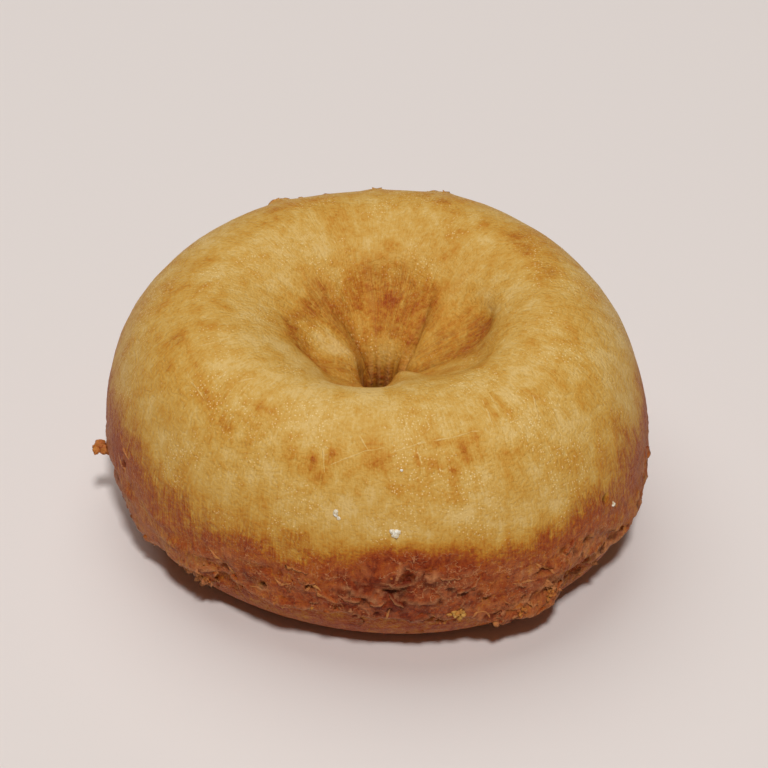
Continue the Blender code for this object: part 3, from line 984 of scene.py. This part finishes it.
def ribbon(skin, path, half_width, done, edge=0.0):
    """One thin raised line along its (angle, place) points, as a closed strip let into the crust."""
    share = np.linspace(0, 1, LINE_STEPS)
    given = np.linspace(0, 1, len(path))
    angles, places = (np.interp(share, given, numbers) for numbers in zip(*path))
    spots = np.array([skin.at(angle, place) for angle, place in zip(angles, places)])
    centre = spots[:, 0]
    out = spots[:, 1]
    ahead = np.gradient(centre, axis=0)
    side = np.cross(out, ahead)
    side /= np.linalg.norm(side, axis=1, keepdims=True)
    wobble = noise_at(centre, 1.3 * MM, 71)
    broken = 0.15 + 0.85 * smooth_step(-0.35, 0.15, noise_at(centre, 1.7 * MM, 72))
    width = half_width * np.sin(math.pi * share.clip(0.02, 0.98)) ** 0.5 * (1 + 0.6 * wobble) * broken
    height = 0.5 * width * (1 + 0.8 * wobble)
    centre = centre + side * (wobble * 0.12 * MM)[:, None]
    across = np.array([-1, -0.5, 0, 0.5, 1])
    arch = 1 - across**2
    top = centre[:, None] + side[:, None] * (across[None, :, None] * width[:, None, None])
    top = top + out[:, None] * ((arch * height[:, None] - 0.02 * MM)[..., None])
    bottom = top - out[:, None] * 0.12 * MM
    points, faces = closed_sheet(top, bottom)
    return points, faces, look(len(points), done, edge)


def flake(rng, point, out, up, length, width, curl, done, edge=0.0):
    """A thin curled scrap of crust whose free edge is paler, partly painted highlight."""
    turn = rng.normal(0, 0.75)
    around = np.cross(out, up)
    down = -up * math.cos(turn) + around * math.sin(turn)
    along = np.cross(out, down)
    sideways, free = np.meshgrid(np.linspace(-1, 1, 7), np.linspace(0, 1, 4), indexing="ij")
    ragged = 1 + 0.25 * rng.normal(0, 1, 7)[:, None]
    reach = width * (1 - 0.8 * sideways**2).clip(0.05) ** 0.5 * ragged
    lift = curl * free**1.7 * (1 + 0.4 * np.sin(3 * sideways + rng.uniform(0, 6))) - 0.10 * MM
    top = point + along * (sideways * length / 2)[..., None] + down * (free * reach)[..., None]
    top = top + out * lift[..., None]
    thickness = (0.20 - 0.12 * free) * MM
    bottom = top - out * thickness[..., None]
    points, faces = closed_sheet(top, bottom)
    # Paler towards the free edge: partly painted highlight.
    pale = np.tile((free**3).ravel(), 2)
    return points, faces, look(len(points), done, edge + (0.9 - edge) * pale)


def lump(rng, centre, radius, done, detail=1, roughness=0.35, edge=0.0):
    """A small uneven crumb."""
    shape = bmesh.new()
    bmesh.ops.create_icosphere(shape, subdivisions=detail, radius=1.0)
    unit = np.array([vertex.co for vertex in shape.verts])
    faces = [tuple(vertex.index for vertex in face.verts) for face in shape.faces]
    shape.free()
    moved = unit + rng.uniform(0, 50, 3)
    bumps = noise_at(moved, 0.75, 0) + 0.5 * noise_at(moved, 0.33, 1)
    stretch = rng.uniform(0.7, 1.25, 3)
    points = centre + unit * stretch * radius * (1 + roughness * bumps)[:, None]
    return points, faces, look(len(points), done, edge)


def make_flakes(skin, material):
    """Curled scraps over the browned band, most of them along the edges of its flaps."""
    rng = np.random.default_rng(7)
    weight = (0.12 + skin.values["edge"]) * smooth_step(0.58, 0.75, skin.values["done"])
    heights = skin.points[..., 2]
    weight = weight * smooth_step(3 * MM, 6 * MM, heights) * FLAKE_SHARE
    chosen = np.argwhere(rng.uniform(0, 1, weight.shape) < weight)
    parts = []
    for row, column in chosen:
        length = rng.uniform(*FLAKE_LENGTHS) * MM
        width = rng.uniform(*FLAKE_WIDTHS) * MM
        curl = rng.uniform(*FLAKE_CURLS) * MM
        done = skin.values["done"][row, column] + rng.uniform(-0.1, 0.1)
        here = (skin.points[row, column], skin.out[row, column], skin.up[row, column])
        parts.append(flake(rng, *here, length, width, curl, done))
    for angle, place, *sizes in SCRAPS:
        length, width, curl = (size * MM for size in sizes)
        done = rng.uniform(0.55, 0.75) if place < 0 else rng.uniform(0.2, 0.35)
        parts.append(flake(rng, *skin.at(angle, place), length, width, curl, done, 0.6))
    new_piece("crust_flakes", *joined(parts), material)


def make_crumbs(skin, material):
    """Loose crumbs in the band, and the larger ones that the photograph shows."""
    rng = np.random.default_rng(11)
    weight = LOOSE_CRUMB_SHARE * smooth_step(0.5, 0.8, skin.values["done"])
    chosen = np.argwhere(rng.uniform(0, 1, weight.shape) < weight)
    parts = []
    for row, column in chosen:
        radius = rng.uniform(*LOOSE_CRUMB_RADII) * MM
        done = skin.values["done"][row, column] - rng.uniform(0, 0.35)
        parts.append(lump(rng, skin.points[row, column], radius, done, edge=rng.uniform(0, 0.35)))
    for angle, place, size, done in CRUMBS:
        radius = size * MM
        point, out, up = skin.at(angle, place)
        around = np.cross(out, up)
        for _ in range(GRAINS_PER_CRUMB):
            along, rise, lift = rng.normal(0, 0.55, 3) * radius
            grain = radius * rng.uniform(0.25, 0.5)
            centre = point + around * along + up * rise + out * abs(lift) * 0.5
            own = done + rng.uniform(-0.1, 0.15)
            parts.append(lump(rng, centre, grain, own, detail=2, roughness=0.5, edge=0.3))
    new_piece("crumbs", *joined(parts), material)


def make_hanging_crumb(axis, material):
    """The crumb on the left side, built on the same lumps as the solid's."""
    rng = np.random.default_rng(5)
    angle = np.array([math.radians(CRUMB_ANGLE)])
    out = np.array([math.cos(angle[0]), math.sin(angle[0]), 0])
    along = np.array([-out[1], out[0], 0])
    up = np.array([0, 0, 1])
    foot = axis + out * outer_radius(angle)[0] + up * CRUMB_HEIGHT
    parts = []
    for sizes in CRUMB_LUMPS:
        outwards, sideways, rise, radius = (size * MM for size in sizes)
        centre = foot + out * outwards + along * sideways + up * rise
        parts.append(lump(rng, centre, radius * 0.96, 0.55, detail=4, roughness=0.42, edge=0.35))
    new_piece("hanging_crumb", *joined(parts), material)


def make_lines(skin, material):
    """The rack's marks in the pale skin and the seams in the browned crust."""
    marks = [ribbon(skin, path, MARK_HALF_WIDTH, 0.02) for path in PRESS_MARKS]
    new_piece("press_marks", *joined(marks), material)
    seams = [ribbon(skin, path, SEAM_HALF_WIDTH, 0.5, 0.6) for path in SEAMS]
    new_piece("crust_seams", *joined(seams), material)


def make_flour_and_glint(skin, material):
    """A few white specks of dried flour on the skin, the last of them a painted highlight standing in
    for a glint.
    """
    rng = np.random.default_rng(3)
    parts = []
    for angle, place, size in FLOUR_AND_GLINT_SPECKS:
        radius = size * MM
        point, out, up = skin.at(angle, place)
        around = np.cross(out, up)
        for _ in range(GRAINS_PER_SPECK):
            along, rise = rng.normal(0, 0.3, 2) * radius
            grain = radius * rng.uniform(0.4, 0.75)
            centre = point + around * along + up * rise
            parts.append(lump(rng, centre, grain, 0.0, detail=2, roughness=0.5))
    points, faces, _ = joined(parts)
    new_piece("flour_and_glint_specks", points, faces, {}, material)


def make_camera(axis):
    """The photograph's camera: the pixel of the ring's axis, half way up, sets where it points."""
    up = Vector((0, math.sin(CAMERA_ELEVATION), math.cos(CAMERA_ELEVATION)))
    back = Vector((0, -math.cos(CAMERA_ELEVATION), math.sin(CAMERA_ELEVATION)))
    pixel = CAMERA_DISTANCE * SENSOR_WIDTH / (CAMERA_LENS * PIXELS_ACROSS)
    aim = Vector(axis) + Vector((0, 0, AXIS_PIXEL_HEIGHT))
    aim += Vector((1, 0, 0)) * (PIXELS_ACROSS / 2 - AXIS_PIXEL[0]) * pixel
    aim += up * (AXIS_PIXEL[1] - PIXELS_ACROSS / 2) * pixel
    data = bpy.data.cameras.new("camera")
    data.lens = CAMERA_LENS
    data.sensor_width = SENSOR_WIDTH
    camera = bpy.data.objects.new("camera", data)
    bpy.context.scene.collection.objects.link(camera)
    camera.location = aim + back * CAMERA_DISTANCE
    camera.rotation_euler = (math.pi / 2 - CAMERA_ELEVATION, 0, 0)
    bpy.context.scene.camera = camera


def make_light(name, location, size, power):
    data = bpy.data.lights.new(name, "AREA")
    data.shape = "DISK"
    data.size = size
    data.energy = power
    light = bpy.data.objects.new(name, data)
    light.location = location
    light.rotation_euler = (-light.location).to_track_quat("-Z", "Y").to_euler()
    bpy.context.scene.collection.objects.link(light)


def make_stage():
    bpy.ops.mesh.primitive_plane_add(size=4)
    floor = bpy.context.object
    floor.name = "floor"
    material, _, surface = new_material("floor_look")
    surface.inputs["Base Color"].default_value = FLOOR_COLOUR
    surface.inputs["Roughness"].default_value = 0.8
    floor.data.materials.append(material)
    make_light("key", *KEY_LIGHT)
    make_light("softbox", *SOFTBOX)
    world = bpy.data.worlds.new("studio")
    world.use_nodes = True
    background = world.node_tree.nodes["Background"]
    background.inputs["Color"].default_value = WORLD_COLOUR
    background.inputs["Strength"].default_value = WORLD_STRENGTH
    bpy.context.scene.world = world
    bpy.context.scene.view_settings.view_transform = "Standard"


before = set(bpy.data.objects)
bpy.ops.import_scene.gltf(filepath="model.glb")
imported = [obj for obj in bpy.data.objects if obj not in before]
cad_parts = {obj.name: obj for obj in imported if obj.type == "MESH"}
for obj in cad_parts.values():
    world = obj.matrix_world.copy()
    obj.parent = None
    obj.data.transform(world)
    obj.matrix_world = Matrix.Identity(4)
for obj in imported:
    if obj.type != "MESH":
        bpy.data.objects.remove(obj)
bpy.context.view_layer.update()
axis = axis_in_frame()
make_camera(axis)
make_stage()
crust = crust_material()
skin = make_doughnut(axis, crust)
make_lines(skin, crust)
make_flakes(skin, crust)
make_crumbs(skin, crust)
make_hanging_crumb(axis, crust)
make_flour_and_glint(skin, flour_and_glint_material())
